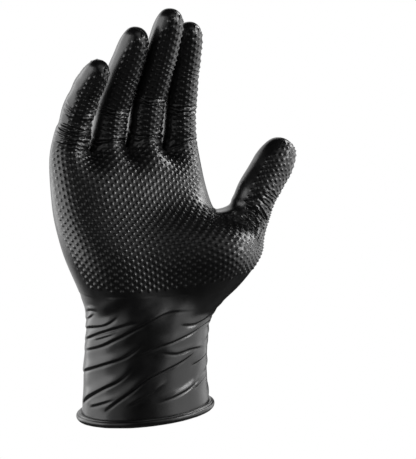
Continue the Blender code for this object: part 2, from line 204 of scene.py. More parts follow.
def palm_flats(row, points):
    """Places of a palm row on the flat pattern, which curves up towards the thumb."""
    outer_edge, outer_side, middle, thumb_side, thumb_edge = row.grip
    centre = SIDE // 2
    flats = []
    for index, point in enumerate(points):
        column = column_of(index)
        on_back = SIDE < index <= 2 * SIDE
        face = points[2 * SIDE:SIDE:-1] if on_back else points[:SIDE]
        line = [points[-1], *face, points[SIDE]]
        first, last = sorted((column + 1, centre + 1))
        arc = sum((line[step + 1] - line[step]).length for step in range(first, last))
        by_column = {-1: outer_edge, 0: outer_edge if on_back else outer_side,
                     SIDE - 2: thumb_side, SIDE - 1: thumb_side, SIDE: thumb_edge}
        grip = by_column.get(column, middle)
        rise = MOUND_RISE * OUT_SHARES.get(index, 0.0) * min(row.out * 2, 1.0)
        flats.append(Vector((math.copysign(arc, column - centre), point.z - rise, grip)))
    return flats


def knuckle_points(points):
    """The top row of the palm: full at each finger, drawn in at the webs between them."""
    for index, point in enumerate(points):
        column = column_of(index)
        if column in range(2, SIDE - 1, 2):
            left, right = FINGERS[column // 2 - 1], FINGERS[column // 2]
            point.y = PALM_SETBACK + (left.setback + right.setback) / 2
            point.y += math.copysign(WEB_DEPTH / 2, index - SIDE)
            point.z += min(left.rise, right.rise) - WEB_DROP
        else:
            finger = FINGERS[min(max(column - 1, 0) // 2, len(FINGERS) - 1)]
            point.y += finger.setback
            point.z += finger.rise
    return points


palm_loops = []
for row, part in zip(PALM_ROWS, PALM_PARTS):
    points = ring_points(palm_ring(row), OUT_SHARES, FORWARD_SHARES)
    flats = palm_flats(row, points)
    if row is PALM_ROWS[-1]:
        points = knuckle_points(points)
    loop = grow(loop, points, flats, halves(part))
    palm_loops.append(loop)


# Fingers
# Four tubes of film, closed by a dome at the tip, that bend a little towards the palm at every joint. The
# grip covers the pad, from left of its middle round to the thumb side, and the back; the sides stay plain.
FINGER_DEPTH = 0.96
BASE_BAND, MIDDLE_BAND, TIP_BAND = 0.0086, 0.0124, 0.0072
DOME_SHARE, DOME_RING_SHARE = 0.62, 0.68
DOME_RING_WIDTH = math.sqrt(1 - DOME_RING_SHARE ** 2)
# Degrees round a finger: 0 is the thumb side and 90 the middle of the pad; then the grip's strength there
RING_TURNS = (135, 90, 45, 0, -45, -90, -135, 180)
FINGER_GRIP = (0.45, 1.0, 1.0, 0.1, 0.2, 1.0, 0.2, PLAIN)
TIP_GRIP = (0.1, 0.9, 0.9, 0.0, 0.0, 0.6, 0.0, PLAIN)
END_GRIP = -0.6

# A finger's bent line: unit vectors along and across each segment, the joints from the root to the tip, and
# their heights on the flat pattern
FingerLine = namedtuple("FingerLine", "ways across joints heights")
# One ring of a finger: its segment, how far along that it stands (None at the joint below, where it halves
# the bend), its width, the strength of its grip, and the skin below it
Step = namedtuple("Step", "segment distance width grip part")


def direction(lean, curl):
    """Unit vector of a finger segment: lean is towards the thumb, curl towards the palm side."""
    lean, curl = math.radians(lean), math.radians(curl)
    return Vector((math.cos(curl) * math.sin(lean), -math.sin(curl), math.cos(curl) * math.cos(lean)))


def sideways(lean):
    """Unit vector across a finger, towards the thumb side."""
    return Vector((math.cos(math.radians(lean)), 0.0, -math.sin(math.radians(lean))))


def finger_line(root, height, lengths, leans, curls):
    """The line of a finger, from its root and the length, lean and curl of each segment."""
    ways = [direction(lean, curl) for lean, curl in zip(leans, curls)]
    joints, heights = [root], [height]
    for length, way in zip(lengths, ways):
        joints.append(joints[-1] + length * way)
        heights.append(heights[-1] + length)
    return FingerLine(ways, [sideways(lean) for lean in leans], joints, heights)


def finger_ring(centre, across, along, width):
    """Eight points round a finger: three on the pad, one edge, three on the back, the other edge."""
    to_pad = across.cross(along).normalized()
    points = []
    for turn in RING_TURNS:
        side = across * (math.cos(math.radians(turn)) * width / 2)
        depth = to_pad * (math.sin(math.radians(turn)) * width * FINGER_DEPTH / 2)
        points.append(centre + side + depth)
    return points


def finger_flats(middle, height, width, grip):
    """Places of a finger ring on the flat pattern, folded over at the two edges."""
    flats = []
    for turn, strength in zip(RING_TURNS, grip):
        arc = width / 2 * math.radians(90 - abs(turn))
        flats.append(Vector((middle + arc, height, strength)))
    return flats


def step_ring(line, step, middle):
    """Points of one ring on a finger's line, and their places on the flat pattern."""
    along, across = line.ways[step.segment], line.across[step.segment]
    reach = step.distance or 0.0
    centre = line.joints[step.segment] + reach * along
    if step.distance is None:
        along, across = line.ways[step.segment - 1] + along, line.across[step.segment - 1]
    points = finger_ring(centre, across, along, step.width)
    return points, finger_flats(middle, line.heights[step.segment] + reach, step.width, step.grip)


def grow_finger(name, loop, line, steps, middle, end_height):
    """Grow a finger from a loop of the palm, ring by ring, and close its end round one point."""
    for step in steps:
        points, flats = step_ring(line, step, middle)
        loop = grow(loop, points, flats, [f"{name}_{step.part}_skin"] * len(loop))
    top = cage.verts.new(line.joints[-1])
    top[flat_layer] = Vector((middle, end_height, END_GRIP))
    for corner in range(0, len(loop), 2):
        mark(cage.faces.new((loop[corner - 1], loop[corner], loop[corner + 1], top)), f"{name}_tip_skin")


def mean(one, other):
    """Halfway between two sizes."""
    return (one + other) / 2


# The ridge of each web, between the palm's front and back, parts one finger's root from the next
knuckles = palm_loops[-1]
knuckle_ring = palm_ring(PALM_ROWS[-1])
web_ridges = [knuckles[2 * SIDE + 1]]
for column in range(2, SIDE - 1, 2):
    front, back = knuckles[column], knuckles[2 * SIDE - column]
    ridge = cage.verts.new((front.co + back.co) / 2 + WEB_DROP * UP)
    ridge[flat_layer] = Vector((front[flat_layer].x, ridge.co.z, PLAIN))
    web_ridges.append(ridge)
web_ridges.append(knuckles[SIDE])

finger_lines = {}
for number, finger in enumerate(FINGERS):
    first = 2 * number
    root_x = knuckle_ring.shift + COLUMNS[first + 1] * knuckle_ring.half_width
    root_height = knuckle_ring.height + finger.rise
    root = Vector((root_x, knuckle_ring.setback + finger.setback, root_height))
    line = finger_line(root, root_height, finger.lengths, [finger.lean] * len(finger.curl), finger.curl)
    finger_lines[finger.name] = line
    lower, middle, tip = finger.lengths
    wide = finger.widths
    dome = DOME_SHARE * wide[3]
    steps = (
        Step(0, BASE_BAND, wide[0], FINGER_GRIP, "base"),
        Step(0, mean(BASE_BAND, lower - MIDDLE_BAND / 2), mean(wide[0], wide[1]), FINGER_GRIP, "base"),
        Step(0, lower - MIDDLE_BAND / 2, wide[1], FINGER_GRIP, "middle"),
        Step(1, None, wide[1], FINGER_GRIP, "middle"),
        Step(1, MIDDLE_BAND / 2, wide[1], FINGER_GRIP, "middle"),
        Step(1, mean(MIDDLE_BAND / 2, middle - TIP_BAND / 2), mean(wide[1], wide[2]), FINGER_GRIP, "middle"),
        Step(1, middle - TIP_BAND / 2, wide[2], FINGER_GRIP, "tip"),
        Step(2, None, wide[2], FINGER_GRIP, "tip"),
        Step(2, TIP_BAND / 2, wide[2], FINGER_GRIP, "tip"),
        Step(2, mean(TIP_BAND / 2, tip - dome), mean(wide[2], wide[3]), FINGER_GRIP, "tip"),
        Step(2, tip - dome, wide[3], FINGER_GRIP, "tip"),
        Step(2, tip - dome * (1 - DOME_RING_SHARE), wide[3] * DOME_RING_WIDTH, TIP_GRIP, "tip"),
    )
    back_side = [knuckles[2 * SIDE - column] for column in (first + 2, first + 1, first)]
    loop = knuckles[first:first + 3] + [web_ridges[number + 1]] + back_side + [web_ridges[number]]
    flat_middle = mean(loop[1][flat_layer].x, loop[5][flat_layer].x)
    grow_finger(finger.name, loop, line, steps, flat_middle, line.heights[-1])


# Thumb
# The fifth tube of film, which comes out of the mound at the thumb edge of the palm. Its pad and its outer
# side carry the grip, and the side towards the web stays plain.
THUMB_INSET = Vector((-0.0054, 0.0058, -0.0021))
THUMB_LENGTHS = (0.0228, 0.0352)
THUMB_WIDTHS = (0.0245, 0.0232, 0.0224)
THUMB_LEAN, THUMB_CURL = (22.5, 34.0), (5.0, 0.0)
THUMB_WEB_DROP, WEB_CORNERS = 0.0030, (-2, -1, 0)
THUMB_BASE_BAND, THUMB_TIP_BAND = 0.0105, 0.0110
THUMB_GRIP = (0.5, 1.0, 1.0, 0.5, -0.2, 0.8, -0.2, PLAIN)
THUMB_TIP_GRIP = (0.1, 0.8, 1.0, 0.5, -0.4, 0.3, -0.4, PLAIN)
THUMB_FLAT_HEIGHT = 0.0915

# Four faces of the mound make way for the thumb; the loop round them runs like a finger's ring
low, mid, high = palm_loops[1:4]
first = SIDE - 2
web_middle = high[first].co.copy()
thumb_root = mid[first + 1].co + THUMB_INSET
thumb_line = finger_line(thumb_root, THUMB_FLAT_HEIGHT, THUMB_LENGTHS, THUMB_LEAN, THUMB_CURL)
flat_middle = mid[first + 1][flat_layer].x
hole = {row[column] for row in (low, mid, high) for column in range(first, first + 3)}
patch = [face for face in cage.faces if all(vert in hole for vert in face.verts)]
bmesh.ops.delete(cage, geom=patch, context="FACES")
loop = [high[first], mid[first], low[first], low[first + 1], low[first + 2], mid[first + 2], high[first + 2],
        high[first + 1]]
lower, tip = THUMB_LENGTHS
wide = THUMB_WIDTHS
half_band = THUMB_TIP_BAND / 2
dome = DOME_SHARE * wide[2]
steps = (
    Step(0, THUMB_BASE_BAND, wide[0], THUMB_GRIP, "base"),
    Step(0, mean(THUMB_BASE_BAND, lower - half_band), mean(wide[0], wide[1]), THUMB_GRIP, "base"),
    Step(0, lower - half_band, wide[1], THUMB_GRIP, "tip"),
    Step(1, None, wide[1], THUMB_GRIP, "tip"),
    Step(1, half_band, wide[1], THUMB_GRIP, "tip"),
    Step(1, mean(half_band, tip - dome), mean(wide[1], wide[2]), THUMB_GRIP, "tip"),
    Step(1, tip - dome, wide[2], THUMB_GRIP, "tip"),
    Step(1, tip - dome * (1 - DOME_RING_SHARE), wide[2] * DOME_RING_WIDTH, THUMB_TIP_GRIP, "tip"),
)
# A ring halfway from the mound to the thumb's first ring, which sags at the web
points, flats = step_ring(thumb_line, steps[0], flat_middle)
halfway = [(vert.co + point) / 2 for vert, point in zip(loop, points)]
half_flats = [(Vector(vert[flat_layer]) + flat) / 2 for vert, flat in zip(loop, flats)]
for corner in WEB_CORNERS:
    halfway[corner].z -= THUMB_WEB_DROP
loop = grow(loop, halfway, half_flats, ["thumb_base_skin"] * len(loop))
end_height = thumb_line.heights[-1] + DOME_RING_SHARE * dome
grow_finger("thumb", loop, thumb_line, steps, flat_middle, end_height)


# The film, smooth
# One skin of nitrile, about 0.2 mm thick, left on the former when it is dipped. The cage is eased outwards
# until its smooth surface passes through the points it was drawn with, and is then made fine.
CAGE_ROUNDS = 6
SKIN_LEVELS = 4
# Skins with wide faces are divided once more, for their folds and studs
FINE_SKINS = ("cuff", "wrist", "heel", "palm", "thumb_base")
# The web beside the thumb is pulled taut, and lies fuller than the cage
TAUT_FILL, TAUT_REACH = 0.0030, 0.0090


def limit_point(vert):
    """Where the smooth surface passes for one point of the cage, by the weights of its subdivision."""
    rim = [edge.other_vert(vert).co for edge in vert.link_edges if edge.is_boundary]
    if rim:
        return (4 * vert.co + rim[0] + rim[1]) / 6
    count = len(vert.link_edges)
    near = sum((edge.other_vert(vert).co for edge in vert.link_edges), Vector())
    far = Vector()
    for corner in vert.link_loops:
        far += corner.link_loop_next.link_loop_next.vert.co
    return (count * count * vert.co + 4 * near + far) / (count * (count + 5))


def smooth_copy(draft):
    """The smooth surface of a cage, as a new mesh."""
    former = bpy.data.objects.new("former", draft)
    bpy.context.scene.collection.objects.link(former)
    rounding = former.modifiers.new("rounding", "SUBSURF")
    rounding.levels = SKIN_LEVELS
    rounding.render_levels = SKIN_LEVELS
    smooth = bpy.data.meshes.new_from_object(former.evaluated_get(bpy.context.evaluated_depsgraph_get()))
    bpy.data.objects.remove(former)
    return smooth


def read(items, field):
    """Vectors of a mesh's items, as an array with one row for each."""
    values = np.empty(len(items) * 3, np.float32)
    items.foreach_get(field, values)
    return values.reshape(-1, 3).astype(float)


def write(items, field, values):
    """Set a field of a mesh's items from an array."""
    items.foreach_set(field, values.astype(np.float32).ravel())


bmesh.ops.recalc_face_normals(cage, faces=cage.faces)
wanted = {vert: vert.co.copy() for vert in cage.verts}
for _ in range(CAGE_ROUNDS):
    moves = {vert: wanted[vert] - limit_point(vert) for vert in cage.verts}
    for vert, move in moves.items():
        vert.co += move
draft = bpy.data.meshes.new("film_cage")
cage.to_mesh(draft)
for name in skin_names:
    draft.materials.append(bpy.data.materials.new(name))
skin = smooth_copy(draft)

# The places on the flat pattern are smoothed as a cage of their own, like the film
pattern = draft.copy()
write(pattern.vertices, "co", read(pattern.attributes["flat"].data, "vector"))
write(skin.attributes["flat"].data, "vector", read(smooth_copy(pattern).vertices, "co"))
cage.free()

fine = bmesh.new()
fine.from_mesh(skin)
fine_numbers = {number for number, name in enumerate(skin_names) if name.startswith(FINE_SKINS)}
fine_edges = []
for edge in fine.edges:
    if any(face.material_index in fine_numbers for face in edge.link_faces):
        fine_edges.append(edge)
bmesh.ops.subdivide_edges(fine, edges=fine_edges, cuts=1, use_grid_fill=True)
for vert in fine.verts:
    vert.co.y -= TAUT_FILL * math.exp(-(vert.co - web_middle).length_squared / (2 * TAUT_REACH ** 2))
for face in fine.faces:
    face.smooth = True
fine.to_mesh(skin)
fine.free()
skin.update()


# Grip
# The former is carved with staggered rows of small diamonds, which stand proud on the film as low domes with
# rounded corners. They start above the wrist and leave the sides of the fingers plain.
GRIP_CELL = (0.00495, 0.00340)
STUD_HEIGHT, STUD_SHARE = 0.00060, 0.31
STUD_SQUARENESS, STUD_SOFTNESS = 3.2, 1.6
GRIP_FADE = (0.10, 0.35)
GRIP_START, GRIP_WAVE, GRIP_WAVELENGTH = 0.0692, 0.0010, 0.110


def ease(values, low, high):
    """Smooth step from 0 at low to 1 at high."""
    share = np.clip((values - low) / (high - low), 0.0, 1.0)
    return share * share * (3 - 2 * share)


place = read(skin.vertices, "co")
normal = read(skin.vertex_normals, "vector")
across, upward, strength = read(skin.attributes["flat"].data, "vector").T
skin.attributes.remove(skin.attributes["flat"])

# Two slanting counts cross at the middle of each stud
one = across / GRIP_CELL[0] + upward / GRIP_CELL[1]
two = across / GRIP_CELL[0] - upward / GRIP_CELL[1]
from_one, from_two = np.abs(one - np.rint(one)), np.abs(two - np.rint(two))
off_centre = (from_one ** STUD_SQUARENESS + from_two ** STUD_SQUARENESS) ** (1 / STUD_SQUARENESS)
stud_height = (np.rint(one) - np.rint(two)) / 2 * GRIP_CELL[1]
stud_across = (np.rint(one) + np.rint(two)) / 2 * GRIP_CELL[0]
start = GRIP_START - GRIP_WAVE * np.cos(stud_across / GRIP_WAVELENGTH * math.tau)
stud = np.clip(1 - (off_centre / STUD_SHARE) ** 2, 0.0, 1.0) ** STUD_SOFTNESS
lift = STUD_HEIGHT * stud * ease(strength, *GRIP_FADE) * (stud_height > start)


# Cuff folds
# The thin sleeve is twisted a little and gathers in slanting folds. Each is a soft crest that drops to a
# sharp valley on its lower side, and runs out at both ends. The back has the same folds.
# Places are degrees round the cuff from the palm side and millimetres up it, and sizes are millimetres.
Fold = namedtuple("Fold", "points height reach")
CUFF_FOLDS = (
    Fold(((-112, 45), (-91, 48), (-67, 51), (-52, 57)), 0.7, 2.2),
    Fold(((-118, 37), (-90, 42.5), (-70, 47), (-46, 51.5), (-30, 53)), 0.8, 2.4),
    Fold(((-84, 41.5), (-70, 44), (-54, 47.5)), 0.4, 1.0),
    Fold(((-112, 33), (-76, 38.5), (-56, 43.8), (-33, 50), (3, 57), (38, 57)), 1.0, 3.6),
    Fold(((-122, 19), (-89, 25.3), (-67, 30), (-45, 35), (-24, 43.5)), 0.9, 2.6),
    Fold(((-46, 33), (-11, 39), (13, 41.7), (57, 47.7), (84, 50)), 1.0, 3.4),
    Fold(((-108, 2), (-90, 9), (-68, 16.8), (-52, 22), (-36, 30.5)), 0.9, 2.8),
    Fold(((-68, 3), (-59, 8.2), (-42, 15.3), (-20, 22.8), (21, 29.8), (52, 36)), 1.0, 3.2),
    Fold(((-84, 5.5), (-70, 8.5), (-54, 12.3)), 0.4, 1.4),
    Fold(((-47, 7.5), (-23, 13.6), (2, 20.5)), 0.6, 2.4),
    Fold(((-15, 9), (11, 11.8), (33, 15.1), (50, 20)), 0.7, 1.8),
    Fold(((36, 13.5), (52, 16), (74, 19.5)), 0.6, 1.4),
    Fold(((34, 26.5), (52, 28.5), (76, 31.5)), 0.5, 2.0),
    Fold(((-8, 36), (14, 34.5), (36, 36), (62, 35)), 0.5, 2.2),
    Fold(((16, 50), (38, 49.5), (62, 53)), 0.5, 2.0),
    Fold(((-104, 55), (-90, 57.5), (-74, 58.5)), 0.35, 1.4),
    Fold(((-110, 51), (-92, 53), (-78, 57)), 0.35, 1.4),
)
BACK_TURN = 171.0
MILLIMETRE = 0.001
# Millimetres of film in a degree round the cuff
CUFF_ARC = 0.56
CREST, CREST_DROP = 0.9, 0.85
VALLEY, VALLEY_PLACE, VALLEY_WIDTH = 0.50, -0.55, 0.70
FOLD_STEPS, FOLD_END = 28, 0.35
RIM_CALM = (2.0, 7.0)
# Between the folds the sleeve swells softly
SWELL, SWELL_COUNT, SWELL_STRETCH = 0.00045, 75.0, 1.8


def along_line(points, steps):
    """Evenly spread points on a smooth line through a few chosen ones."""
    points = np.array(points, float)
    knots = np.linspace(0, 1, len(points))
    ends = np.vstack((2 * points[0] - points[1], points, 2 * points[-1] - points[-2]))
    shares = np.linspace(0, 1, steps)
    spans = np.minimum((shares * (len(points) - 1)).astype(int), len(points) - 2)
    t = (shares - knots[spans])[:, None] * (len(points) - 1)
    p0, p1, p2, p3 = (ends[spans + step] for step in range(4))
    bend = 2 * p0 - 5 * p1 + 4 * p2 - p3
    twist = 3 * p1 - p0 - 3 * p2 + p3
    return 0.5 * (2 * p1 + (p2 - p0) * t + bend * t ** 2 + twist * t ** 3)


def beside_line(line, x, y):
    """How far points lie to the left of a line, and their share of the way along it."""
    nearest = np.full(len(x), np.inf)
    side, share = np.zeros(len(x)), np.zeros(len(x))
    for step, (begin, stop) in enumerate(zip(line[:-1], line[1:])):
        span = stop - begin
        along = np.clip(((x - begin[0]) * span[0] + (y - begin[1]) * span[1]) / (span @ span), 0, 1)
        off_x, off_y = x - begin[0] - along * span[0], y - begin[1] - along * span[1]
        distance = np.hypot(off_x, off_y)
        closer = distance < nearest
        nearest[closer] = distance[closer]
        side[closer] = (distance * np.sign(span[0] * off_y - span[1] * off_x))[closer]
        share[closer] = (step + along[closer]) / (len(line) - 1)
    return side, share


def run_out(share, end):
    """Fade over the share of a line's length at each of its ends."""
    return ease(share, 0.0, end) * ease(1 - share, 0.0, end)


sleeve = np.flatnonzero(place[:, 2] < WRIST_HEIGHT + WRIST_BAND / 2)
bearing = np.degrees(np.arctan2(place[sleeve, 0], -place[sleeve, 1]))
height = place[sleeve, 2] / MILLIMETRE
for fold in CUFF_FOLDS:
    for turn in (0.0, BACK_TURN):
        line = along_line(fold.points, FOLD_STEPS)
        middle = line[:, 0].mean() + turn
        line[:, 0] = (line[:, 0] + turn - middle) * CUFF_ARC
        way_round = ((bearing - middle + 180) % 360 - 180) * CUFF_ARC
        side, share = beside_line(line, way_round, height)
        crest_side = side - CREST
        crest = np.exp(-(crest_side / np.where(crest_side > 0, fold.reach, CREST_DROP)) ** 2)
        valley = VALLEY * np.exp(-((side - VALLEY_PLACE) / VALLEY_WIDTH) ** 2)
        fade = run_out(share, FOLD_END) * ease(height, *RIM_CALM)
        lift[sleeve] += MILLIMETRE * fold.height * fade * (crest - valley)
for number, (x, y, z) in zip(sleeve, place[sleeve]):
    slanted = Vector((x, y, z * SWELL_STRETCH - x)) * SWELL_COUNT
    lift[number] += SWELL * noise.noise(slanted) * min(z / WAIST_HEIGHT, 1.0)


# Finger creases
# Where the fingers bend, the film on the pads gathers in short cross creases with raised lips. Each is
# given by its distance up the finger and its depth, in millimetres.
CREASES = {
    "little": ((3.8, 0.55), (7.2, 0.6), (10.0, 0.6), (12.6, 0.55), (15.0, 0.5), (24.0, 0.6), (26.6, 0.5)),
    "ring": ((5.0, 0.7), (21.6, 0.6), (24.2, 0.6)),
    "middle": ((6.6, 0.7), (28.0, 0.65), (30.6, 0.5)),
    "index": ((2.6, 0.6), (21.8, 0.65), (24.4, 0.5)),
}
CREASE_WIDTH, LIP_PLACE, LIP_WIDTH, LIP_SHARE = 0.65, 1.35, 0.75, 0.7
CREASE_WAVER, WAVER_TURNS, WAVER_STEP = 0.55, 2.3, 2.1
# Degrees round the finger over which creases come in on the thumb side and go out on the other
PAD_START, PAD_END = (-15, 35), (120, 205)
ROOT_CALM = 0.002


def read_numbers(items, field):
    """Whole numbers of a mesh's items, as an array."""
    values = np.empty(len(items), np.int32)
    items.foreach_get(field, values)
    return values


face_skin, face_corners = (read_numbers(skin.polygons, field) for field in ("material_index", "loop_total"))
vertex_skin = np.empty(len(skin.vertices), np.int32)
vertex_skin[read_numbers(skin.loops, "vertex_index")] = np.repeat(face_skin, face_corners)


def film_of(name):
    """Points of the film whose skins' names start with the given one."""
    numbers = [number for number, skin_name in enumerate(skin_names) if skin_name.startswith(name)]
    return np.flatnonzero(np.isin(vertex_skin, numbers))


def crease(offset, depth):
    """Profile across a crease, in metres: a narrow valley between two raised lips."""
    lips = np.exp(-((np.abs(offset) - LIP_PLACE) / LIP_WIDTH) ** 2)
    return MILLIMETRE * depth * (LIP_SHARE * lips - np.exp(-(offset / CREASE_WIDTH) ** 2))


def along_finger(distance, stops, vectors):
    """Vectors given at the stops of a finger, read between them at each distance."""
    vectors = np.array(vectors)
    return np.stack([np.interp(distance, stops, vectors[:, axis]) for axis in range(3)], axis=1)


for finger in FINGERS:
    line = finger_lines[finger.name]
    own = film_of(finger.name)
    distance = upward[own] - line.heights[0]
    stops = np.array(line.heights) - line.heights[0]
    wide = np.array(sideways(finger.lean))
    pad = np.cross(wide, along_finger(distance, stops, [line.ways[0], *line.ways]))
    spoke = place[own] - along_finger(distance, stops, line.joints)
    turn = np.degrees(np.arctan2((spoke * pad).sum(axis=1), spoke @ wide))
    window = ease(turn, *PAD_START) * (1 - ease(turn, *PAD_END)) * ease(distance, 0.0, ROOT_CALM)
    for number, (position, depth) in enumerate(CREASES[finger.name]):
        waver = CREASE_WAVER * np.sin(np.radians(turn * WAVER_TURNS) + WAVER_STEP * number)
        lift[own] += window * crease(distance / MILLIMETRE - position - waver, depth)


# Thumb creases
# The film gathers in a deep crease where the thumb leaves the palm, in a fan of folds beside it, and in
# short cross creases up to the thumb's joint. Places are degrees round the thumb and millimetres along it.
ThumbCrease = namedtuple("ThumbCrease", "points depth width")
THUMB_CREASES = (
    ThumbCrease(((142, 9.4), (121, 11.0), (92, 10.6), (40, 7.5)), 0.8, 1.7),
    ThumbCrease(((112, 15.8), (86, 13.1), (46, 9.6)), 0.5, 0.5),
    ThumbCrease(((112, 10.9), (88, 8.8), (55, 6.2)), 0.6, 0.7),
    ThumbCrease(((126, 8.8), (107, 6.8), (82, 4.2)), 0.55, 0.7),
    ThumbCrease(((136, 6.9), (116, 5.0), (96, 2.8)), 0.4, 0.6),
    ThumbCrease(((118, 19.0), (84, 17.4), (44, 15.8)), 0.35, 0.45),
    ThumbCrease(((114, 21.9), (84, 21.5), (50, 20.6)), 0.35, 0.45),
    ThumbCrease(((118, 26.0), (84, 25.6), (44, 24.4)), 0.35, 0.45),
    ThumbCrease(((104, 31.5), (80, 30.6), (54, 29.6)), 0.25, 0.4),
)
# Millimetres of film in a degree round the thumb, and the share of a crease that fades at each end
THUMB_ARC, CREASE_END = 0.20, 0.25

own = film_of("thumb")
thumb_way = (thumb_line.ways[0] + thumb_line.ways[1]).normalized()
way = np.array(thumb_way)
wide = np.array(sideways(mean(*THUMB_LEAN)))
pad = np.cross(wide, way)
spoke = place[own] - np.array(thumb_root)
turn = np.degrees(np.arctan2(spoke @ pad, spoke @ wide)) % 360
distance = spoke @ way / MILLIMETRE
for fold in THUMB_CREASES:
    line = along_line(fold.points, FOLD_STEPS)
    line[:, 0] *= THUMB_ARC
    side, share = beside_line(line, turn * THUMB_ARC, distance)
    profile = crease(side * CREASE_WIDTH / fold.width, fold.depth)
    lift[own] += run_out(share, CREASE_END) * profile

write(skin.vertices, "co", place + normal * lift[:, None])
skin.update()
whole_normal = skin.attributes.new("film_normal", "FLOAT_VECTOR", "POINT")
write(whole_normal.data, "vector", read(skin.vertex_normals, "vector"))


# Skins
# The film cut where it lies still, into skins that each span one joint, or ride on one body. Each
# gets the film's thickness inwards and keeps the shading of the whole film along its cuts.
FILM = 0.0002
# A corner takes the whole film's normal where its face lies along the film, and not on the wall of a cut
CUT_FACING = 0.3
NITRILE_DARK, NITRILE_PALE = (0.0012, 0.0012, 0.0014, 1.0), (0.0030, 0.0030, 0.0033, 1.0)
NITRILE_SPECULAR = 0.8
NITRILE_GLOSSY, NITRILE_DULL = 0.28, 0.36
GRAIN_STRENGTH, GRAIN_DEPTH = 0.25, 0.0001
# Scale and detail of each noise, and the stretch of the gloss noise that runs from glossy to dull
FILM_NOISES = {"mottle": (70.0, 4.0), "gloss": (160.0, 3.0), "grain": (1500.0, 2.0)}
GLOSS_LOW, GLOSS_HIGH = 0.30, 0.70


def film_grain():
    """Node group for the dipped rubber: faint mottling, uneven gloss and a fine grain."""
    group = bpy.data.node_groups.new("film_grain", "ShaderNodeTree")
    for name, kind in (("Dark", "Color"), ("Pale", "Color"), ("Glossy", "Float"), ("Dull", "Float")):
        group.interface.new_socket(name, in_out="INPUT", socket_type=f"NodeSocket{kind}")
    for name, kind in (("Color", "Color"), ("Roughness", "Float"), ("Height", "Float")):
        group.interface.new_socket(name, in_out="OUTPUT", socket_type=f"NodeSocket{kind}")
    nodes, links = group.nodes, group.links
    given, result = nodes.new("NodeGroupInput"), nodes.new("NodeGroupOutput")
    spot = nodes.new("ShaderNodeTexCoord")
    noises = {}
    for name, (scale, detail) in FILM_NOISES.items():
        noises[name] = nodes.new("ShaderNodeTexNoise")
        noises[name].inputs["Scale"].default_value = scale
        noises[name].inputs["Detail"].default_value = detail
        links.new(spot.outputs["Object"], noises[name].inputs["Vector"])
    shade = nodes.new("ShaderNodeMix")
    shade.data_type = "RGBA"
    links.new(noises["mottle"].outputs["Fac"], shade.inputs["Factor"])
    links.new(given.outputs["Dark"], shade.inputs["A"])
    links.new(given.outputs["Pale"], shade.inputs["B"])
    gloss = nodes.new("ShaderNodeMapRange")
    gloss.inputs["From Min"].default_value = GLOSS_LOW
    gloss.inputs["From Max"].default_value = GLOSS_HIGH
    links.new(noises["gloss"].outputs["Fac"], gloss.inputs["Value"])
    links.new(given.outputs["Glossy"], gloss.inputs["To Min"])
    links.new(given.outputs["Dull"], gloss.inputs["To Max"])
    links.new(shade.outputs["Result"], result.inputs["Color"])
    links.new(gloss.outputs["Result"], result.inputs["Roughness"])
    links.new(noises["grain"].outputs["Fac"], result.inputs["Height"])
    return group


grain = film_grain()


def nitrile_material(name, glossy, dull):
    """Black nitrile rubber with its grain, between two roughnesses."""
    material = bpy.data.materials.new(name)
    material.use_nodes = True
    nodes, links = material.node_tree.nodes, material.node_tree.links
    shader = nodes["Principled BSDF"]
    shader.inputs["Specular IOR Level"].default_value = NITRILE_SPECULAR
    rubber = nodes.new("ShaderNodeGroup")
    rubber.node_tree = grain
    rubber.inputs["Dark"].default_value = NITRILE_DARK
    rubber.inputs["Pale"].default_value = NITRILE_PALE
    rubber.inputs["Glossy"].default_value = glossy
    rubber.inputs["Dull"].default_value = dull
    bump = nodes.new("ShaderNodeBump")
    bump.inputs["Strength"].default_value = GRAIN_STRENGTH
    bump.inputs["Distance"].default_value = GRAIN_DEPTH
    links.new(rubber.outputs["Color"], shader.inputs["Base Color"])
    links.new(rubber.outputs["Roughness"], shader.inputs["Roughness"])
    links.new(rubber.outputs["Height"], bump.inputs["Height"])
    links.new(bump.outputs["Normal"], shader.inputs["Normal"])
    return material


nitrile = nitrile_material("nitrile_film", NITRILE_GLOSSY, NITRILE_DULL)
whole = bpy.data.objects.new("whole_film", skin)
bpy.context.scene.collection.objects.link(whole)
bpy.ops.object.select_all(action="DESELECT")
bpy.context.view_layer.objects.active = whole
whole.select_set(True)
bpy.ops.object.mode_set(mode="EDIT")
bpy.ops.mesh.select_all(action="SELECT")
bpy.ops.mesh.separate(type="MATERIAL")
bpy.ops.object.mode_set(mode="OBJECT")
# Each piece still holds the marker material that carries its skin's name
skins = {}
for piece in list(bpy.context.selected_objects):
    number = piece.data.polygons[0].material_index if len(piece.data.materials) > 1 else 0
    piece.name = piece.data.materials[number].name
    skins[piece.name] = piece


def give_wall(piece):
    """Add the film's thickness on the inside, and shade the cuts as the whole film is shaded."""
    shell = bmesh.new()
    shell.from_mesh(piece.data)
    outward = shell.verts.layers.float_vector["film_normal"]
    for face in shell.faces:
        face.material_index = 0
    made = bmesh.ops.extrude_face_region(shell, geom=shell.faces[:], use_keep_orig=True)["geom"]
    for item in made:
        if isinstance(item, bmesh.types.BMVert):
            item.co -= FILM * item[outward]
    lining = [item for item in made if isinstance(item, bmesh.types.BMFace)]
    bmesh.ops.reverse_faces(shell, faces=lining)
    shell.to_mesh(piece.data)
    shell.free()
    mesh = piece.data
    mesh.materials.clear()
    mesh.materials.append(nitrile)
    film_normal = read(mesh.attributes["film_normal"].data, "vector")
    mesh.attributes.remove(mesh.attributes["film_normal"])
    wanted = film_normal[read_numbers(mesh.loops, "vertex_index")]
    corners = read_numbers(mesh.polygons, "loop_total")
    facing = (wanted * np.repeat(read(mesh.polygons, "normal"), corners, axis=0)).sum(axis=1)
    wanted *= np.where(np.abs(facing) > CUT_FACING, np.sign(facing), 0.0)[:, None]
    mesh.normals_split_custom_set(wanted)
    mesh.update()


for piece in skins.values():
    give_wall(piece)

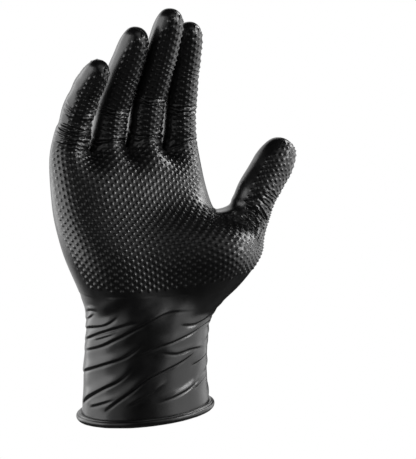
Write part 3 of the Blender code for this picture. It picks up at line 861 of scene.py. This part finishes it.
for side in ("front", "back"):
    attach(skins[f"cuff_{side}_skin"], "cuff")
    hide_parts("cuff_film")
    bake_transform(skins[f"wrist_{side}_skin"])
    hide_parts("wrist_band")
    for part in ("heel", "palm"):
        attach(skins[f"{part}_{side}_skin"], "palm")
        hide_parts("palm_film")

# Each finger's skins keep their place, and hide the finger's solids that they cover
for finger in FINGERS:
    line = finger_lines[finger.name]
    lower, middle, tip = finger.lengths
    base_skin = skins[f"{finger.name}_base_skin"]
    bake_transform(base_skin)
    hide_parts(f"{finger.name}_base_crease", f"{finger.name}_lower")
    for joint, part, band in ((1, "middle", MIDDLE_BAND), (2, "tip", TIP_BAND)):
        bent_skin = skins[f"{finger.name}_{part}_skin"]
        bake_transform(bent_skin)
        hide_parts(f"{finger.name}_{part}_crease", f"{finger.name}_{part}")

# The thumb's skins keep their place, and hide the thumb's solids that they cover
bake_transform(skins["thumb_base_skin"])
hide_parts("thumb_base_crease", "thumb_lower")
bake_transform(skins["thumb_tip_skin"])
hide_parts("thumb_tip_crease", "thumb_tip")


# Rolled edge
# The bead at the open end: the film's own edge, rolled up on itself while it is still tacky. A seam shows
# on its upper side where the last turn ends, and the roll is a little uneven.
BEAD_RADIUS, BEAD_STANDOFF = 0.0021, 0.0009
BEAD_STEPS, BEAD_SIDES = 360, 44
BEAD_SEAM, BEAD_SEAM_WIDTH, BEAD_SEAM_DEPTH = 52.0, 11.0, 0.00042
BEAD_WANDER, BEAD_WANDER_COUNT = 9.0, 3.0
BEAD_WAVE, BEAD_WAVE_COUNT, BEAD_WAVE_OFFSET = 0.05, 5.0, 7.0
BEAD_MERGE = 1e-6

roll = bmesh.new()
section = bmesh.ops.create_circle(roll, segments=BEAD_SIDES, radius=BEAD_RADIUS)["verts"]
bmesh.ops.rotate(roll, verts=section, matrix=Matrix.Rotation(math.pi / 2, 3, "X"))
bmesh.ops.translate(roll, verts=section, vec=(CUFF_WIDTH, 0, 0))
bmesh.ops.spin(roll, geom=roll.verts[:] + roll.edges[:], cent=(0, 0, 0), axis=(0, 0, 1), angle=math.tau,
               steps=BEAD_STEPS, use_merge=True)
bmesh.ops.remove_doubles(roll, verts=roll.verts[:], dist=BEAD_MERGE)
rim_x, rim_y = CUFF_WIDTH / 2 + BEAD_STANDOFF, CUFF_DEPTH / 2 + BEAD_STANDOFF
for vert in roll.verts:
    x, y, z = vert.co
    way, out = math.atan2(y, x), math.hypot(x, y) - CUFF_WIDTH
    turn = math.atan2(z, out)
    spot = Vector((math.cos(way), math.sin(way), 0.0))
    seam = math.degrees(turn) - BEAD_SEAM - BEAD_WANDER * noise.noise(spot * BEAD_WANDER_COUNT)
    wave = noise.noise(spot * BEAD_WAVE_COUNT + BEAD_WAVE_OFFSET * UP)
    radius = BEAD_RADIUS * (1 + BEAD_WAVE * wave)
    radius -= BEAD_SEAM_DEPTH * math.exp(-(seam / BEAD_SEAM_WIDTH) ** 2)
    outwards = Vector((spot.x * rim_y, spot.y * rim_x, 0.0)).normalized()
    centre = Vector((spot.x * rim_x, spot.y * rim_y, spot.x * rim_x * math.tan(CUFF_TILT)))
    vert.co = centre + radius * (math.cos(turn) * outwards + math.sin(turn) * UP)
bmesh.ops.recalc_face_normals(roll, faces=roll.faces[:])
for face in roll.faces:
    face.smooth = True
bead_mesh = bpy.data.meshes.new("rolled_edge")
roll.to_mesh(bead_mesh)
roll.free()
bead_mesh.materials.append(nitrile_material("nitrile_bead", NITRILE_GLOSSY, NITRILE_DULL))
bead = bpy.data.objects.new("rolled_edge", bead_mesh)
bpy.context.scene.collection.objects.link(bead)
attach(bead, "cuff")
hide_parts("cuff_bead")


# Stage
# A floor and a sheet behind, both white to the camera; the film mirrors the sheet along its outline. Light
# comes from wide boxes at both sides, two small bright ones at the right, in front and high, and dim fills.
# The camera is in front, to the little finger's side. Bearings and elevations are in degrees.
AIM = Vector((0.03025, -0.01608, 0.09945))
FLOOR_SIZE, FLOOR_HEIGHT, FLOOR_TONE = 0.5, -0.30, 0.08
SHEET_BEARING, SHEET_ELEVATION, SHEET_DISTANCE = 182, 10, 2.0
SHEET_SIZE, SHEET_TONE = 1.4, 0.8
PAPER_ROUGHNESS = 0.9
WORLD_TONE = 0.02


def around(azimuth, elevation, distance):
    """A point at a bearing from the middle of the view, as the camera and the lamps are placed."""
    a, e = math.radians(azimuth), math.radians(elevation)
    return AIM + distance * Vector((math.sin(a) * math.cos(e), -math.cos(a) * math.cos(e), math.sin(e)))


def white_paper(name, tone, mirrored):
    """Paper that the camera sees as white, on which the lamps fall as on a given tone."""
    material = bpy.data.materials.new(name)
    material.use_nodes = True
    nodes, links = material.node_tree.nodes, material.node_tree.links
    paper = nodes["Principled BSDF"]
    paper.inputs["Base Color"].default_value = (tone, tone, tone, 1.0)
    paper.inputs["Roughness"].default_value = PAPER_ROUGHNESS
    glow = nodes.new("ShaderNodeEmission")
    rays = nodes.new("ShaderNodeLightPath")
    seen = nodes.new("ShaderNodeMixShader")
    white = rays.outputs["Is Camera Ray"]
    if mirrored:
        for ray in ("Is Glossy Ray", "Is Transmission Ray"):
            either = nodes.new("ShaderNodeMath")
            either.operation = "MAXIMUM"
            links.new(white, either.inputs[0])
            links.new(rays.outputs[ray], either.inputs[1])
            white = either.outputs["Value"]
    links.new(white, seen.inputs["Fac"])
    links.new(paper.outputs["BSDF"], seen.inputs[1])
    links.new(glow.outputs["Emission"], seen.inputs[2])
    links.new(seen.outputs["Shader"], nodes["Material Output"].inputs["Surface"])
    return material


def stage_sheet(name, size, turn, place, material):
    """A flat sheet of the studio, turned about its middle and put in its place."""
    draft = bmesh.new()
    bmesh.ops.create_grid(draft, x_segments=1, y_segments=1, size=size)
    stand = Matrix.Translation(place) @ turn.to_matrix().to_4x4()
    bmesh.ops.transform(draft, matrix=stand, verts=draft.verts)
    mesh = bpy.data.meshes.new(name)
    draft.to_mesh(mesh)
    draft.free()
    mesh.materials.append(material)
    sheet = bpy.data.objects.new(name, mesh)
    bpy.context.scene.collection.objects.link(sheet)


stage_sheet("floor", FLOOR_SIZE, UP.to_track_quat("Z", "Y"), FLOOR_HEIGHT * UP,
            white_paper("floor_paper", FLOOR_TONE, mirrored=False))
sheet_place = around(SHEET_BEARING, SHEET_ELEVATION, SHEET_DISTANCE)
stage_sheet("back_sheet", SHEET_SIZE, (AIM - sheet_place).to_track_quat("Z", "Y"), sheet_place,
            white_paper("sheet_paper", SHEET_TONE, mirrored=True))

world = bpy.data.worlds.new("studio")
bpy.context.scene.world = world
world.use_nodes = True
nodes, links = world.node_tree.nodes, world.node_tree.links
background = nodes["Background"]
rays = nodes.new("ShaderNodeLightPath")
shade = nodes.new("ShaderNodeMix")
shade.data_type = "RGBA"
shade.inputs["A"].default_value = (WORLD_TONE, WORLD_TONE, WORLD_TONE, 1.0)
shade.inputs["B"].default_value = (1.0, 1.0, 1.0, 1.0)
links.new(rays.outputs["Is Camera Ray"], shade.inputs["Factor"])
links.new(shade.outputs["Result"], background.inputs["Color"])


def softbox(name, azimuth, elevation, distance, width, height, brightness):
    """A soft lamp that faces the glove; brightness is that of its face."""
    lamp = bpy.data.lights.new(name, "AREA")
    lamp.shape = "RECTANGLE"
    lamp.size, lamp.size_y = width, height
    lamp.energy = brightness * math.pi * width * height
    box = bpy.data.objects.new(name, lamp)
    bpy.context.scene.collection.objects.link(box)
    box.location = around(azimuth, elevation, distance)
    box.rotation_euler = (AIM - box.location).to_track_quat("-Z", "Y").to_euler()
    box.visible_camera = False


# Each lamp's bearing, elevation, distance, width, height and brightness
LAMPS = {
    "left_softbox": (-118, 10, 1.0, 1.9, 1.0, 2.2),
    "left_fill": (-58, 12, 1.0, 0.55, 1.0, 0.45),
    "right_softbox": (76, -2, 0.9, 2.1, 0.9, 1.0),
    "rim_softbox": (104, 2, 0.9, 0.5, 0.6, 0.6),
    "front_softbox": (53, 23, 1.1, 0.34, 0.34, 12.0),
    "high_softbox": (104, 34, 1.1, 0.40, 0.40, 8.5),
    "upper_fill": (18, 46, 1.1, 0.8, 0.5, 0.5),
    "front_fill": (24, 12, 1.1, 0.6, 0.6, 0.4),
}
for name, setting in LAMPS.items():
    softbox(name, *setting)

CAMERA_BEARING, CAMERA_ELEVATION, CAMERA_DISTANCE = -28, 6, 0.75
CAMERA_LENS, CAMERA_SENSOR = 107.9, 36.0
camera = bpy.data.objects.new("camera", bpy.data.cameras.new("camera"))
bpy.context.scene.collection.objects.link(camera)
camera.data.sensor_width = CAMERA_SENSOR
camera.data.lens = CAMERA_LENS
camera.location = around(CAMERA_BEARING, CAMERA_ELEVATION, CAMERA_DISTANCE)
camera.rotation_euler = (AIM - camera.location).to_track_quat("-Z", "Y").to_euler()
bpy.context.scene.camera = camera
bpy.context.scene.view_settings.view_transform = "Standard"
